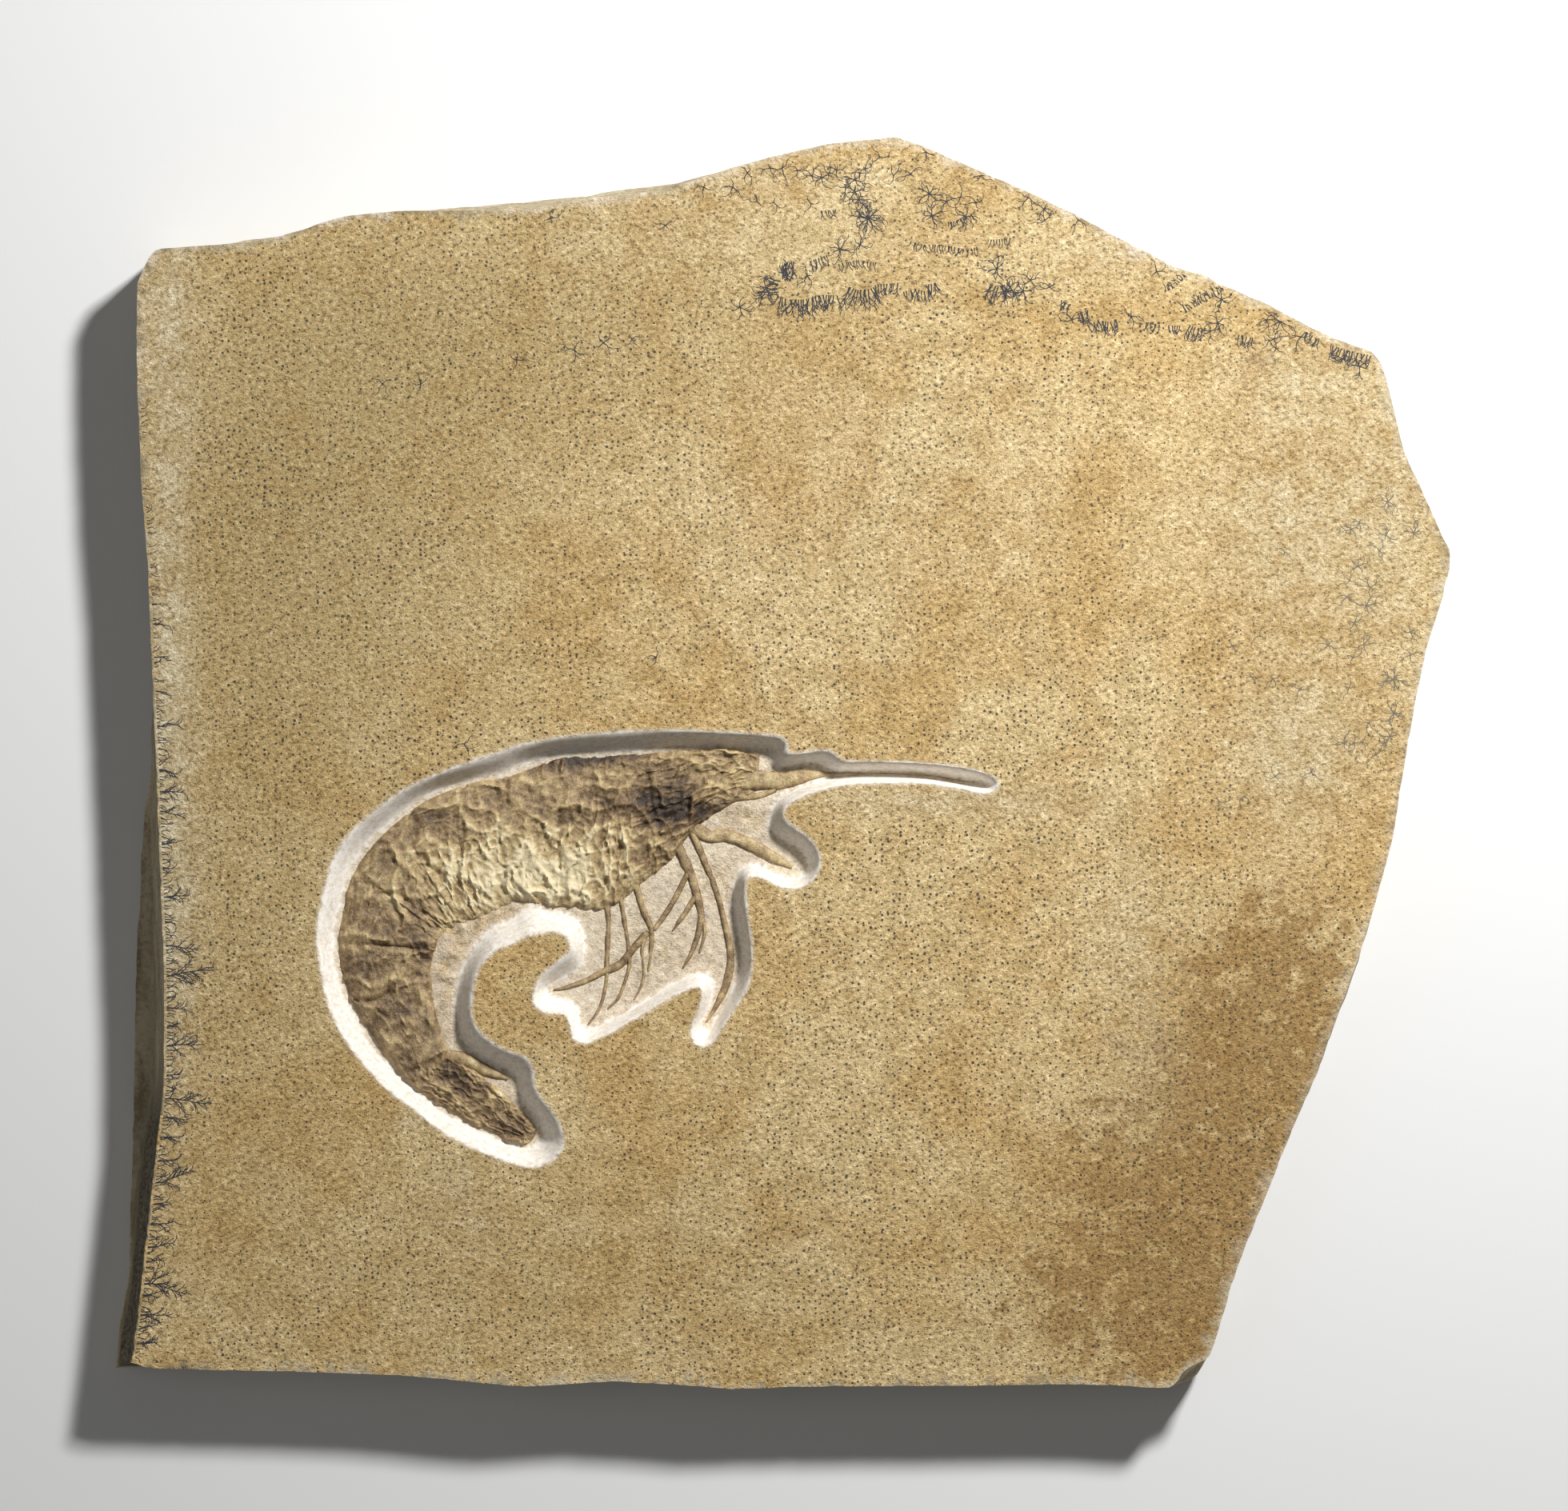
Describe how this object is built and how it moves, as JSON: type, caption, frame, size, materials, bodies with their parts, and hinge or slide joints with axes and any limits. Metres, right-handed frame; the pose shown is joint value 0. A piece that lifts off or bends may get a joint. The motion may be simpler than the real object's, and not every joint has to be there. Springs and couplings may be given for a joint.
{
  "type": "fossil shrimp plate",
  "caption": "Broken tan limestone slab with a curled fossil shrimp, long rostrum and legs laid bare in a shallow prepared recess, and black dendrites on its face.",
  "frame": {"origin": "centre of the bounding box at the back face that the slab rests on", "axes": "+X along the rostrum, to the right of the slab's face; +Y towards the shrimp's back, up the face; +Z out of the face"},
  "size_m": [0.2795, 0.262, 0.016],
  "materials": {
    "limestone": "matte",
    "fossil": "satin"
  },
  "bodies": {
    "root": {"limestone_plate": "limestone", "fossil_shrimp": "fossil"}
  },
  "joints": []
}
